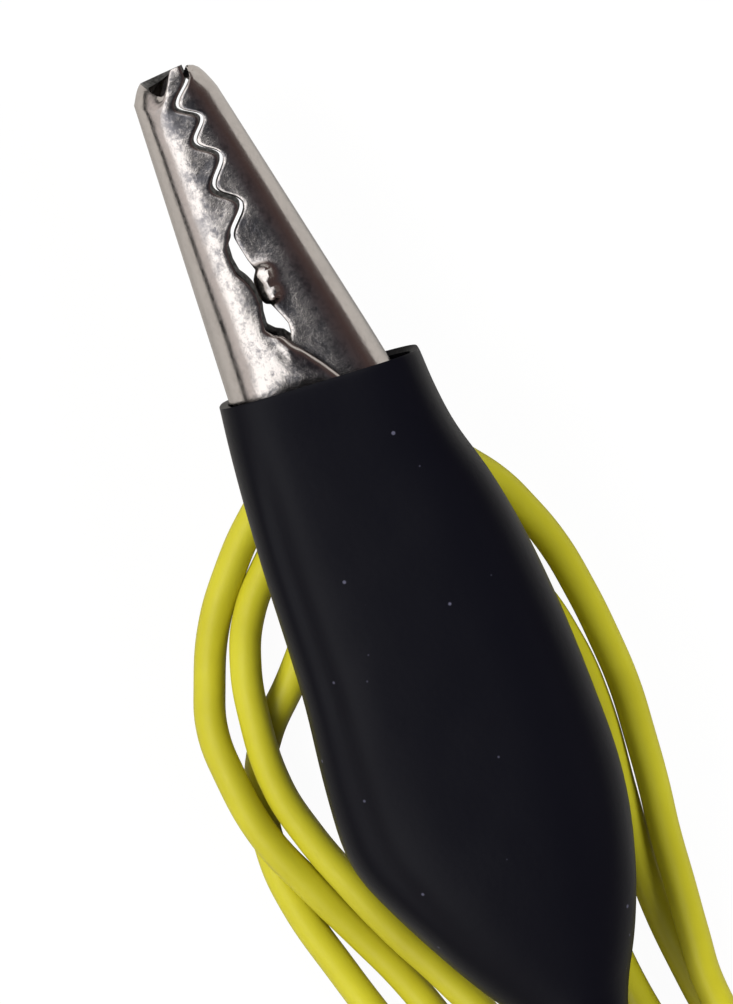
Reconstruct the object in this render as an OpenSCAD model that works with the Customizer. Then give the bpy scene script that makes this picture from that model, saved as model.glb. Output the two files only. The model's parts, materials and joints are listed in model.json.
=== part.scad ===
// Alligator clip lead: a vinyl-booted alligator clip on each end of a thin insulated wire.
// Millimetres. Z = 0 is the surface it lies on. The origin is on that surface under the pivot
// of the near clip. +X runs from that pivot toward the boot's tail, and +Z along the pivot.

/* [Lead] */
// Distance between the two clips' pivots, along X
clip_spacing = 86; // [84:1:100]

/* [Clip] */
// Thickness of the stamped sheet
sheet = 0.45; // [0.35:0.05:0.6]
// Half width of the jaws at the tip
tip_half_w = 1.75; // [1.5:0.05:2]
// Half width of the fixed jaw at its ears
ear_half_w = 2.95; // [2.6:0.05:3.4]
// Side clearance between the moving jaw and the fixed ears
ear_gap = 0.15; // [0.1:0.05:0.3]
// Distance between the two rows of teeth, along Y
teeth_gap = 0.36; // [0.3:0.02:0.6]
// Width of the flat taken off along each edge of a jaw's back
back_cut = 1.6; // [1:0.1:1.8]

/* [Pivot and spring] */
// Radius of the rivet's shank
rivet_r = 1; // [0.8:0.05:1.15]
// Radius of the rivet's heads
rivet_head_r = 1.6; // [1.3:0.1:1.9]
// Thickness of the rivet's heads
rivet_head_t = 0.35; // [0.25:0.05:0.45]
// Radial clearance of the rivet in the moving jaw's ears
rivet_clear = 0.06; // [0.03:0.01:0.1]
// Thickness of the spring wire
spring_wire = 0.6; // [0.4:0.05:0.7]
// Radial clearance between the spring and the rivet
spring_clear = 0.3; // [0.15:0.05:0.4]

/* [Boot] */
// Thickness of the boot's wall beside the rivet's heads
boot_wall = 0.6; // [0.4:0.05:0.8]
// Room between the boot and the rivet's heads, on each side
boot_room = 0.3; // [0.2:0.05:0.6]
// Radius of the sleeve at the boot's tail
sleeve_r = 1.75; // [1.5:0.05:2.2]

/* [Wire] */
// Diameter over the wire's insulation
wire_d = 1.5; // [1.3:0.05:1.5]
// Radius of one strand of the bare conductor
strand_r = 0.14; // [0.1:0.01:0.16]
// Thickness of the coil that the wire lies in
coil_t = 3; // [3:0.1:3.4]

/* [Hidden] */

// Half thickness of the boot, from its middle to the side it lies on
boot_half_t = ear_half_w + rivet_head_t + boot_room + boot_wall;
rest_gap = 0.1;                 // gap between the near boot and the coil it lies on
near_z = coil_t + rest_gap + boot_half_t; // height of the near clip's middle plane
far_z = boot_half_t;            // the far clip lies on the surface
fit_gap = 0.02;                 // gap of a pressed or soldered fit
sleeve_gap = 0.07;              // gap between the sleeve and the wire
grip_gap = 0.1;                 // gap between the wire and the tail's sides
seat_gap = 0.15;                // gap where the spring's legs press on the tails
leg_lean = 0.05;                // more gap for the leg that leans on the moving tail
hull_n = 32;

tip_x = -18.9;
ear_x = -6.5;                   // the jaws have their full width from here
tail_x = 17;                    // end of the fixed tail
moving_tail_x = 16;
back_slope = 0.1183;            // slope of the fixed jaw's back
mouth_x = -4.8;
mouth_y = -3.72;                // the fixed jaw's back at the mouth of the boot
tail_half_w = wire_d / 2 + grip_gap + sheet; // the fixed tail narrows to hold the wire
moving_half_w = ear_half_w - sheet - ear_gap;
moving_tail_half_w = 2.05;
shoulder_half_w = 1.7;          // where the fixed jaw has narrowed behind its ears
fold_share = 37 / 45;           // how much less is cut inside a fold, per thickness of sheet
strip_x = 12.6;                 // where the insulation ends
solder_x = 10.6;                // middle of the solder joint
leg_x = 5.5;                    // end of the spring's legs
leg_back_y = 4.75;              // the moving jaw's back there
moving_back_y = 4.85;           // and at its end

function back_y(x) = mouth_y - back_slope * (x - mouth_x);
function trough_y(x) = back_y(x) + sheet * sqrt(1 + back_slope * back_slope);
wire_lift = wire_d / 2 + fit_gap; // height of the wire's axis over the trough

// ---------- outlines ----------
// Peaks and valleys of the fixed jaw's teeth, from the tip to the first gap behind them.
TEETH = [[-18.45, 0.47], [-17.26, -0.54], [-16.42, 0.26], [-15.46, -0.47], [-14.5, 0.34],
    [-13.25, -0.53], [-12.18, 0.28], [-10.86, -0.72]];
function wave(lift) = [for (i = [0 : len(TEETH) - 2]) for (k = [0 : 4])
    let (t = (1 - cos(180 * k / 5)) / 2, u = k / 5)
    [TEETH[i][0] + (TEETH[i + 1][0] - TEETH[i][0]) * u,
     TEETH[i][1] + (TEETH[i + 1][1] - TEETH[i][1]) * t + lift]];
function reversed(p) = [for (i = [len(p) - 1 : -1 : 0]) p[i]];

// Stations along each jaw's back: x, y of the back, half width.
fixed_stations = [[tip_x, -1.75, tip_half_w], [-18.1, -2.17, tip_half_w + 0.04],
    [ear_x, back_y(ear_x), ear_half_w], [3.5, back_y(3.5), ear_half_w],
    [9, back_y(9), shoulder_half_w], [12.3, back_y(12.3), tail_half_w],
    [tail_x, back_y(tail_x), tail_half_w]];
moving_stations = [[tip_x + 0.2, 1.25, tip_half_w], [-17.4, 1.64, tip_half_w + 0.04],
    [mouth_x, 3.4, moving_half_w], [leg_x, leg_back_y, moving_half_w],
    [moving_tail_x, moving_back_y, moving_tail_half_w]];
function back_line(st) = [for (s = reversed(st)) [s[0], s[1]]];

FIXED_SIDE = concat([[tip_x + 0.25, -1.0], [tip_x + 0.4, -0.2]], wave(0),
    [TEETH[len(TEETH) - 1], [-10.58, -0.96], [-9.31, -1.01], [-8.62, -0.74], [-8.1, -0.64],
     [-7.6, -0.66], [-7.1, -0.78], [-6.53, -0.87], [-6.02, -0.3], [-5.6, -0.02],
     [-4.3, 0.85], [-2.8, 1.65], [-1.4, 2.15], [0, 2.3], [1.4, 2.0], [2.5, 1.1], [3.4, -0.6],
     [4.2, -2.4], [5.2, -3.3], [8, -3.9], [12.3, -4.5],
     [12.7, -3.7], [16.2, -4.0], [16.5, -5.2], [tail_x, -5.5]], back_line(fixed_stations));
MOVING_SIDE = concat(wave(teeth_gap),
    [TEETH[len(TEETH) - 1] + [0, teeth_gap], [-10.4, -0.4], [-9.7, -0.3], [-9.16, -0.16],
     [-8.95, -0.3], [-8.5, -0.5], [-7.9, -0.52], [-7.6, -0.35], [-7.5, -0.17], [-6.9, 0.05],
     [-6.4, 0.2], [-5.8, 0.1], [-4.6, -0.7], [-2.4, -1.6], [0, -1.95], [1.5, -1.5],
     [2.3, -0.3], [3, 1.6], [4.4, 3.1], [6.5, 3.7], [moving_tail_x, 4.1]],
    back_line(moving_stations));

// ---------- shapes made of rings ----------
module skin(rings) {
    m = len(rings[0]);
    n = len(rings);
    faces = concat(
        [[for (j = [0 : m - 1]) j]],
        [for (i = [0 : n - 2]) for (j = [0 : m - 1])
            [i * m + j, (i + 1) * m + j, (i + 1) * m + (j + 1) % m, i * m + (j + 1) % m]],
        [[for (j = [m - 1 : -1 : 0]) (n - 1) * m + j]]);
    polyhedron([for (r = rings) for (p = r) p], faces, convexity = 6);
}

function unit(v) = v / norm(v);
function tangent(p, i) = unit(p[min(i + 1, len(p) - 1)] - p[max(i - 1, 0)]);
function tube_ring(p, t, r) = let (s = unit(cross([0, 0, 1], t)), u = cross(t, s))
    [for (a = [22.5 : 45 : 360]) p + r * (cos(a) * s + sin(a) * u)];
module tube(path, r) skin([for (i = [0 : len(path) - 1]) tube_ring(path[i], tangent(path, i), r)]);

// A point of a smooth curve through four of the route's points.
function between(a, b, c, d, t) = 0.5 * (2 * b + (c - a) * t + (2 * a - 5 * b + 4 * c - d) * t * t
    + (3 * b - a - 3 * c + d) * t * t * t);
function smooth(p) = concat([for (i = [0 : len(p) - 2]) for (k = [0 : 1])
    between(p[max(i - 1, 0)], p[i], p[i + 1], p[min(i + 2, len(p) - 1)], k / 2)], [p[len(p) - 1]]);

// ---------- channels folded from sheet ----------
// Each station of a channel is [x, y of the back, half width].
function plan_view(st, inset) = concat([for (s = st) [s[0], s[2] - inset]],
    [for (s = reversed(st)) [s[0], inset - s[2]]]);
// Takes the sharp edge off between two stations, on both sides.
module edge_cut(a, b, shift, inset, size) let (d = b - a, run = norm([d[0], d[1]]),
    mid = (a + b) / 2)
    for (side = [-1, 1]) translate([mid[0], mid[1] + shift, side * (mid[2] - inset)])
        rotate([0, 0, atan2(d[1], d[0])]) rotate([0, -side * atan2(d[2], run), 0])
        rotate([45, 0, 0]) cube([norm(d) + 0.5, size, size], center = true);
module folded(outline, st, shift, inset, size) difference() {
    intersection() {
        linear_extrude(height = 12, center = true) polygon(outline);
        rotate([90, 0, 0]) linear_extrude(height = 30, center = true) polygon(plan_view(st, inset));
    }
    for (i = [1 : 3]) edge_cut(st[i], st[i + 1], shift, inset, size);
}
// The hollow between the channel's two sides.
function hollow_view(st, up) = concat([for (s = st) [s[0], s[1] + up * sheet]],
    [[st[len(st) - 1][0], up * 12], [st[0][0], up * 12]]);

// ---------- the clip, about its pivot ----------
function stretch(s) = [for (i = [0 : len(s) - 1]) i == 0 ? s[i] - [1, 0, 0]
    : i == len(s) - 1 ? s[i] + [1, 0, 0] : s[i]];

module jaw_sheet(side, st, up) difference() {
    folded(side, st, 0, 0, back_cut);
    folded(hollow_view(stretch(st), up), stretch(st), up * sheet, sheet, back_cut - fold_share * sheet);
}

module clip_fixed_jaw() color([0.72, 0.69, 0.67]) difference() {
    jaw_sheet(FIXED_SIDE, fixed_stations, 1);
    cylinder(r = rivet_r + fit_gap, h = 8, center = true, $fn = 48);
}

module clip_moving_jaw() color([0.72, 0.69, 0.67]) difference() {
    jaw_sheet(MOVING_SIDE, moving_stations, -1);
    cylinder(r = rivet_r + rivet_clear, h = 8, center = true, $fn = 48);
}

module clip_rivet() color([0.7, 0.68, 0.66]) {
    cylinder(r = rivet_r, h = 2 * ear_half_w, center = true, $fn = 48);
    for (side = [-1, 1]) translate([0, 0, side * (ear_half_w + rivet_head_t / 2)])
        cylinder(r = rivet_head_r, h = rivet_head_t, center = true, $fn = 48);
}

// The spring's coil, from one leg's tangent point round to the other's, then the legs.
coil_r = rivet_r + spring_clear + spring_wire / 2;
leg_low = [leg_x, trough_y(leg_x) + spring_wire / 2 + seat_gap];
leg_high = [leg_x, leg_back_y - sheet - spring_wire / 2 - seat_gap - leg_lean];
function leave_angle(p) = acos(coil_r / norm(p));
low_angle = atan2(leg_low[1], leg_low[0]) - leave_angle(leg_low);
high_angle = atan2(leg_high[1], leg_high[0]) + leave_angle(leg_high);
coil_turn = 360 * 2 + 360 - high_angle + low_angle;
coil_step = 22;
turn_gap = 0.12;
coil_half = (spring_wire + turn_gap) * coil_turn / 720;
coil_rings = floor(coil_turn / coil_step);
module clip_spring() color([0.75, 0.75, 0.76]) tube(concat([[leg_low[0], leg_low[1], -coil_half]],
    [for (i = [0 : coil_rings]) let (u = i / coil_rings, a = low_angle - coil_turn * u)
        [coil_r * cos(a), coil_r * sin(a), coil_half * (2 * u - 1)]],
    [[leg_high[0], leg_high[1], coil_half]]), spring_wire / 2);

sleeve_wall = sleeve_r - wire_d / 2 - sleeve_gap;
// Boot stations: x, low edge, high edge, half thickness, wall, squareness, slant.
BOOT = [[-3.5, -4.25, 5.06, boot_half_t - 0.3, boot_wall - 0.2, 4, 0.13],
    [0, -4.93, 5.15, boot_half_t - 0.05, boot_wall - 0.1, 4, 0.1],
    [3.3, -5.5, 5.7, boot_half_t, boot_wall, 3.6, 0.06],
    [6.5, -5.95, 6.05, boot_half_t, boot_wall + 0.05, 3.2, 0.03],
    [10, -6.4, 6.1, boot_half_t, boot_wall + 0.1, 3, 0],
    [13.8, -5.8 - tail_half_w, 6.02, boot_half_t, boot_wall + 0.15, 2.8, 0],
    [17.3, -6.2 - tail_half_w, 5.8, boot_half_t - 0.05, boot_wall + 0.2, 2.6, 0],
    [20.2, -6.7, 5.25, boot_half_t - 0.3, boot_wall + 0.2, 2.5, 0],
    [23, -5.5, 4.3, boot_half_t - 0.9, boot_wall + 0.2, 2.4, 0],
    [25.5, -4.25, 3.1, boot_half_t - 1.6, boot_wall + 0.25, 2.2, 0],
    [27.5, -3.1, 1.9, boot_half_t - 2.15, boot_wall + 0.3, 2, 0],
    [29.2, -0.5 - sleeve_r, -0.5 + sleeve_r, sleeve_r, sleeve_wall, 2, 0],
    [32, -0.5 - sleeve_r, -0.5 + sleeve_r, sleeve_r, sleeve_wall, 2, 0],
    [36, -0.5 - sleeve_r, -0.5 + sleeve_r, sleeve_r, sleeve_wall, 2, 0]];
boot_sides = 32;
function bow(c, n) = sign(c) * pow(abs(c), 2 / n);
function boot_ring(s, wall) = [for (j = [0 : boot_sides - 1]) let (a = 360 * j / boot_sides,
    y = (s[1] + s[2]) / 2 + ((s[2] - s[1]) / 2 - wall) * bow(cos(a), s[5]))
    [s[0] + s[6] * (y - 0.4), y, (s[3] - wall) * bow(sin(a), s[5])]];
module clip_boot() color([0.06, 0.07, 0.1]) difference() {
    skin([for (s = BOOT) boot_ring(s, 0)]);
    skin(stretch_rings([for (s = BOOT) boot_ring(s, s[4])]));
}
function stretch_rings(r) = [for (i = [0 : len(r) - 1]) i == 0 ? [for (p = r[i]) p - [1, 0, 0]]
    : i == len(r) - 1 ? [for (p = r[i]) p + [1, 0, 0]] : r[i]];

// Places its children on the trough's line, x = 0 at the end of the insulation, +X to the tip.
module on_trough() translate([strip_x, trough_y(strip_x) + wire_lift, 0])
    rotate([0, 0, 180 - atan(back_slope)]) children();

strand_pitch = 2 * strand_r + fit_gap;
strand_len = 4.2;
module clip_conductor() color([0.8, 0.55, 0.4]) on_trough() translate([fit_gap, 0, 0])
    rotate([0, 90, 0]) {
    cylinder(r = strand_r, h = strand_len, $fn = 24);
    for (a = [0 : 60 : 300]) rotate(a) translate([strand_pitch, 0, 0])
        cylinder(r = strand_r, h = strand_len, $fn = 24);
}

solder_len = 2.6;
solder_start = strip_x - solder_x - solder_len / 2;
bundle_r = strand_pitch + strand_r + fit_gap;
module clip_solder() color([0.8, 0.8, 0.8]) on_trough() intersection() {
    translate([solder_start, 0, 0]) rotate([0, 90, 0]) rotate_extrude($fn = 48)
        polygon([[bundle_r, 0], [0.65, 0], [0.95, 0.6], [1, 1.3], [0.95, 2], [0.65, solder_len],
            [bundle_r, solder_len]]);
    translate([0, -4 + wire_lift, -2]) cube([8, 4, 4]);
}

module near() translate([0, 0, near_z]) children();
module far() translate([clip_spacing, 0, far_z]) rotate([0, 0, 180]) children();

// ---------- the wire ----------
// Route inside the boot: over the tail, by the line of the tail's back, then to the sleeve's end.
TAIL_ROUTE = [[16.4, -6.2], [18.6, -6.1], [21, -5.3]];
INSIDE = [[24, -2.3, 0], [27, -0.9, 0], [29.5, -0.5, 0], [32, -0.5, 0], [36, -0.5, 0]];
strip_end = [strip_x, trough_y(strip_x) + wire_lift, 0];
// From the near sleeve down onto the coil, and from the coil up to the far sleeve. Heights are
// those of the wire's underside.
NEAR_ROUTE = [[39.5, -0.5, 6.45], [42.6, -1.2, 5.85], [44.8, -3.3, 4.75], [45.2, -6.1, 3.45],
    [43.5, -8.5, 2.15], [40.6, -9.6, 0.85], [37.2, -9.5, 0.15], [33.6, -8.9, 0.05]];
FAR_ROUTE = [[34, 2.6, 0.15], [38, 1.9, 0.75], [41.5, 1.3, 1.85], [44.5, 0.8, 2.85],
    [47.3, 0.5, 3.35]];

function on_tail(p) = [p[0], p[1] + sheet + wire_d / 2, 0];
function laid(p) = [p[0], p[1], p[2] + wire_d / 2];
function placed_near(p) = [p[0], p[1], p[2] + near_z];
function placed_far(p) = [clip_spacing - p[0], -p[1], p[2] + far_z];
inside = concat([strip_end], [for (p = TAIL_ROUTE) on_tail(p)], INSIDE);

module near_wire() color([0.82, 0.8, 0.2])
    tube(smooth(concat([for (p = inside) placed_near(p)], [for (p = NEAR_ROUTE) laid(p)])),
        wire_d / 2);
module far_wire() color([0.82, 0.8, 0.2])
    tube(smooth(concat([for (p = FAR_ROUTE) laid(p)], [for (p = reversed(inside)) placed_far(p)])),
        wire_d / 2);

// Outer shape of the loops of wire: a ring between two rounded outlines.
coil_band = 4.8;
module coil_outline(inset) hull() {
    translate([9.2, -1.7]) circle(r = 10.2 - inset, $fn = hull_n);
    translate([39, -0.8]) circle(r = 7.6 - inset, $fn = hull_n);
}
module wire_coil() color([0.76, 0.74, 0.16]) linear_extrude(height = coil_t) difference() {
    coil_outline(0);
    coil_outline(coil_band);
}

// ---------- nodes ----------
module fixed_jaw() near() clip_fixed_jaw();
module moving_jaw() near() clip_moving_jaw();
module pivot_rivet() near() clip_rivet();
module jaw_spring() near() clip_spring();
module boot() near() clip_boot();
module conductor() near() clip_conductor();
module solder_joint() near() clip_solder();
module far_fixed_jaw() far() clip_fixed_jaw();
module far_moving_jaw() far() clip_moving_jaw();
module far_pivot_rivet() far() clip_rivet();
module far_jaw_spring() far() clip_spring();
module far_boot() far() clip_boot();
module far_conductor() far() clip_conductor();
module far_solder_joint() far() clip_solder();

fixed_jaw();
moving_jaw();
pivot_rivet();
jaw_spring();
boot();
conductor();
solder_joint();
near_wire();
wire_coil();
far_wire();
far_fixed_jaw();
far_moving_jaw();
far_pivot_rivet();
far_jaw_spring();
far_boot();
far_conductor();
far_solder_joint();
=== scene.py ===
"""Alligator clip lead: nickel-plated clips in soft vinyl boots on a thin yellow wire."""

import json
import math

import bmesh
import bpy
from mathutils import Matrix, Vector
from mathutils.noise import noise_vector, seed_set


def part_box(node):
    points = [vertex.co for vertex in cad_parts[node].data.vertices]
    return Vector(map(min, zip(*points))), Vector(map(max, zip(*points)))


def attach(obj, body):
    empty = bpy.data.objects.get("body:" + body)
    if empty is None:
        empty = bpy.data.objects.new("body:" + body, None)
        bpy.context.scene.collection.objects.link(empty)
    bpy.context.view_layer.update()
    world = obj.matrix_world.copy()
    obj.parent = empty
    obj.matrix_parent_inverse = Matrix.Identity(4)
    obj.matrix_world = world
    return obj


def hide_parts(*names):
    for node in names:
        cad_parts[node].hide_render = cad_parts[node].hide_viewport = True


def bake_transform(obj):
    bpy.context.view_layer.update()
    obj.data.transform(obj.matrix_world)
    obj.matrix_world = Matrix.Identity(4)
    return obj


bl_info = {
    "name": "Alligator clip lead",
    "version": (1, 0, 0),
    "blender": (4, 5, 0),
    "location": "View3D > Sidebar > Clip Lead",
    "description": "Models a lead with a booted alligator clip on each end",
    "category": "Add Mesh",
}

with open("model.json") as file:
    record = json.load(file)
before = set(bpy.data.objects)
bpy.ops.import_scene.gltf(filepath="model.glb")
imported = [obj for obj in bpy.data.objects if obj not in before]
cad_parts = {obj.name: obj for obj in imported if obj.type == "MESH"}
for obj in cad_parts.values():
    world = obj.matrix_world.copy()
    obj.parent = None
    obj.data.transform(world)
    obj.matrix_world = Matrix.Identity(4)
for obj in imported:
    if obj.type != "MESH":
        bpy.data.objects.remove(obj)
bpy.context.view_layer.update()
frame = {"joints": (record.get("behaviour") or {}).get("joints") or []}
# Without a seed, noise_vector would start from the clock, and no two runs would be alike.
NOISE_SEED = 4
seed_set(NOISE_SEED)

MM = 0.001
PIVOTS = {joint["name"]: Vector(joint["pos_m"]) for joint in frame["joints"]}
NEAR = Matrix.Translation(PIVOTS["jaw_hinge"])
FAR = Matrix.Translation(PIVOTS["far_jaw_hinge"]) @ Matrix.Rotation(math.pi, 4, "Z")
# Each clip: prefix of its nodes, where its pivot stands, and the body its moving jaw is on.
CLIPS = (("", NEAR, "jaw"), ("far_", FAR, "far_jaw"))


def half_height(node):
    """Half a node's size along Z, in millimetres."""
    low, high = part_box(node)
    return (high[2] - low[2]) / 2 / MM


EAR_HALF_W = half_height("fixed_jaw")
MOVING_HALF_W = half_height("moving_jaw")
BOOT_HALF_T = half_height("boot")
RIVET_HALF = half_height("pivot_rivet")

# ---------- outlines, in millimetres about a clip's pivot ----------
TIP_X = -18.9
# The fixed jaw's back is straight: its slope, and a point on it at the boot's mouth.
BACK_SLOPE = 0.1183
MOUTH = (-4.8, -3.72)
# Peaks and valleys of the fixed jaw's teeth from the tip, and the gap to the other jaw's.
TEETH = ((-18.45, 0.49), (-17.26, -0.52), (-16.42, 0.28), (-15.46, -0.45), (-14.5, 0.36),
         (-13.25, -0.51), (-12.18, 0.3), (-10.86, -0.7))
TEETH_GAP = 0.25
# Edge of the fixed jaw's sides behind the teeth: two gaps, the ear, and the tail's wire grip.
FIXED_EDGE = ((-10.58, -0.96), (-9.9, -1.05), (-9.31, -1.0), (-8.95, -0.8), (-8.62, -0.68),
              (-8.1, -0.6), (-7.6, -0.62), (-7.1, -0.78), (-6.53, -0.87), (-6.2, -0.6),
              (-6.0, -0.27), (-5.6, -0.02), (-5.0, 0.38), (-4.3, 0.85), (-2.8, 1.65), (-1.4, 2.15),
              (0, 2.3), (1.4, 2.0), (2.5, 1.1), (3.4, -0.6), (4.2, -2.4), (5.2, -3.3), (8, -3.9),
              (12.3, -4.5), (12.7, -3.7), (16.2, -4.0), (16.5, -5.2), (17, -5.5))
# Edge of the moving jaw's sides behind the teeth: the bent tab, the ear, and the handle.
MOVING_EDGE = ((-10.4, -0.4), (-9.7, -0.3), (-9.16, -0.16), (-9.0, -0.3), (-8.75, -0.46),
               (-8.4, -0.48), (-7.9, -0.5), (-7.6, -0.4), (-7.5, -0.17), (-6.9, 0.05),
               (-6.4, 0.2), (-6.0, 0.14), (-5.6, -0.1), (-4.6, -0.7), (-2.4, -1.6), (0, -1.95),
               (1.5, -1.5), (2.3, -0.3), (3, 1.6), (4.4, 3.1), (6.5, 3.7), (16, 4.1))


def fixed_back(x):
    """Y of the fixed jaw's straight back."""
    return MOUTH[1] - BACK_SLOPE * (x - MOUTH[0])


# x, y of the back, half width of the two jaws
FIXED_STATIONS = ((TIP_X, -1.5, 1.7), (TIP_X + 0.15, -1.7, 1.74), (TIP_X + 0.4, -1.9, 1.77),
                  (-18.1, -2.17, 1.79), (-6.5, fixed_back(-6.5), EAR_HALF_W),
                  (3.5, fixed_back(3.5), EAR_HALF_W), (9, fixed_back(9), 1.7),
                  (12.3, fixed_back(12.3), 1.3), (17, fixed_back(17), 1.3))
MOVING_STATIONS = ((-18.78, 0.8, 1.35), (-18.7, 1.0, 1.5), (-18.5, 1.2, 1.63),
                   (-18.2, 1.35, 1.71), (-17.8, 1.49, 1.76), (-17.4, 1.61, 1.79),
                   (-4.8, 3.4, MOVING_HALF_W), (5.5, 4.75, MOVING_HALF_W),
                   (16, 4.85, MOVING_HALF_W - 0.3))

# Boot: x, low edge, high edge, half thickness lost, how round the section is, slant of the ring
BOOT_RINGS = ((-3.5, -4.25, 5.06, 0.3, 0.0, 0.13), (-3.2, -4.3, 5.1, 0.22, 0.0, 0.13),
              (-1.6, -4.62, 5.08, 0.14, 0.0, 0.12), (0.6, -5.03, 5.2, 0.05, 0.0, 0.1),
              (3.3, -5.5, 5.7, 0, 0.05, 0.06), (6.5, -5.95, 6.03, 0, 0.15, 0.03),
              (10, -6.4, 6.1, 0, 0.2, 0), (13.8, -7.1, 6.02, 0, 0.3, 0),
              (17.3, -7.5, 5.8, 0.05, 0.4, 0), (20.2, -6.7, 5.25, 0.3, 0.5, 0),
              (23, -5.5, 4.3, 0.9, 0.6, 0), (25.5, -4.25, 3.1, 1.6, 0.8, 0),
              (27.5, -3.1, 1.9, 2.15, 1, 0), (29.2, -2.25, 1.25, 2.45, 1, 0),
              (32, -2.2, 1.2, 2.5, 1, 0), (35.5, -2.2, 1.2, 2.5, 1, 0),
              (35.95, -2.05, 1.05, 2.65, 1, 0))

# The wire's route, in millimetres. Inside a boot it is about that clip's pivot, and it starts
# where the tail grips the end of the insulation.
GRIP_END = (12.6, -4.55, 0)
INSIDE = (GRIP_END, (16.4, -5.0, 0), (18.6, -4.9, 0), (21, -4.1, 0), (24, -2.3, 0),
          (27, -0.9, 0), (29.5, -0.5, 0), (32, -0.5, 0), (36, -0.5, 0))
# From the near sleeve down onto the loops.
NEAR_ROUTE = ((39.5, -0.5, 7.2), (42.6, -1.2, 6.6), (44.8, -3.3, 5.5), (45.2, -6.1, 4.2),
              (43.5, -8.5, 2.9), (40.6, -9.6, 1.6), (37.2, -9.5, 0.9), (33.6, -8.9, 0.8))
# Three loose loops, each up one side of the boot, under it, and down the other.
LOOPS = (
    (30.5, -8.7, 0.75), (26.7, -9.4, 0.75), (22.9, -10.25, 0.75), (18.8, -11, 0.75),
    (16.3, -11, 0.75), (13, -10.15, 0.75), (11.1, -8.9, 0.75), (9.4, -7, 0.75),
    (7.2, -4.6, 0.75), (5.7, -2, 0.75), (5.5, 0.8, 0.75), (6.9, 3.4, 0.75), (9.7, 5, 0.75),
    (12.9, 5.65, 0.75), (16, 5.65, 0.75), (20.5, 5, 0.75), (24.8, 4.4, 0.75),
    (29.7, 4.45, 0.75), (34, 4.8, 0.75), (37.9, 4.7, 0.75), (41.3, 3.5, 0.75),
    (43.5, 1.2, 0.75), (44.3, -1.6, 0.75), (43.1, -4.2, 0.75), (40.3, -5.6, 0.75),
    (37, -5.9, 0.75), (33.7, -5.9, 0.75), (30.5, -6.2, 0.75), (27.5, -6.9, 0.75),
    (24, -7.85, 0.75), (21.4, -8.8, 1), (18.5, -9.85, 1.7), (15.2, -10.9, 2.25),
    (12, -11.2, 2.2), (9.8, -11.1, 1.6), (7.9, -10.4, 0.9), (5.5, -9.1, 0.75),
    (3.5, -7.4, 0.75), (1.7, -5.4, 0.75), (0.2, -3, 0.75), (-0.3, -0.2, 0.75), (0.6, 2.2, 0.75),
    (2.1, 3.8, 0.75), (3.5, 4.9, 0.75), (4.8, 5.7, 0.75), (6.2, 6.25, 0.75), (8.3, 6.85, 0.75),
    (10.8, 7.15, 0.75), (13.4, 7.25, 0.75), (15.8, 7.2, 0.8), (18.2, 6.9, 0.9),
    (20.5, 6.55, 1.1), (22.8, 6.1, 1.4), (25.2, 5.75, 1.8), (27.5, 5.4, 2.15),
    (29.9, 5.1, 2.25), (33.5, 5.4, 2.2), (37.5, 6, 1.5), (41.5, 5.5, 0.9), (44.7, 3.5, 0.75),
    (46.1, 0.4, 0.75), (45.7, -2.9, 0.75), (43.5, -5.8, 0.8), (40.5, -7.4, 1),
    (37.5, -7.4, 1.5), (34.5, -6.5, 2.1), (31.5, -5.2, 2.25), (28.2, -4.8, 2.1),
    (24.9, -5.9, 1.7), (21.8, -7.2, 1.8), (18.8, -8.2, 2.2), (16, -9, 2.25), (13.4, -9.4, 2.25),
    (9.8, -9, 2.25), (7.6, -8.4, 2), (5.7, -7.4, 1.2), (3.9, -5.6, 0.75), (2.4, -3.4, 0.75),
    (1.8, -0.8, 0.75), (2.4, 1.7, 1.2), (4.2, 3.4, 2), (6.9, 4, 2.25), (10, 3.9, 1.8),
    (13, 3.3, 0.9), (16.5, 2.7, 0.75), (20.5, 2.1, 0.75), (25.5, 1.7, 0.75), (30.5, 1.9, 0.75),
)
# From the loops up to the far sleeve.
FAR_ROUTE = ((34, 2.6, .9), (38, 1.9, 1.5), (41.5, 1.3, 2.6), (44.5, .8, 3.6), (47.3, .5, 4.1))


# ---------- settings ----------
class LeadSizes(bpy.types.PropertyGroup):
    wire_diameter: bpy.props.FloatProperty(
        name="Wire diameter", description="Over the insulation", default=1.5 * MM,
        min=1.0 * MM, max=2.0 * MM, unit="LENGTH", precision=5)
    wire_length: bpy.props.FloatProperty(
        name="Wire length", description="From one clip's crimp to the other's", default=0.371,
        min=0.3, max=0.45, unit="LENGTH", precision=4)
    sheet: bpy.props.FloatProperty(
        name="Sheet", description="Thickness of the jaws' metal", default=0.42 * MM,
        min=0.3 * MM, max=0.6 * MM, unit="LENGTH", precision=5)
    boot_wall: bpy.props.FloatProperty(
        name="Boot wall", description="Thickness of the vinyl", default=0.42 * MM,
        min=0.3 * MM, max=0.8 * MM, unit="LENGTH", precision=5)
    spring_wire: bpy.props.FloatProperty(
        name="Spring wire", description="Thickness of the spring's wire", default=0.6 * MM,
        min=0.4 * MM, max=0.7 * MM, unit="LENGTH", precision=5)
    strand: bpy.props.FloatProperty(
        name="Strand", description="Thickness of one copper strand", default=0.28 * MM,
        min=0.15 * MM, max=0.32 * MM, unit="LENGTH", precision=5)


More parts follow.
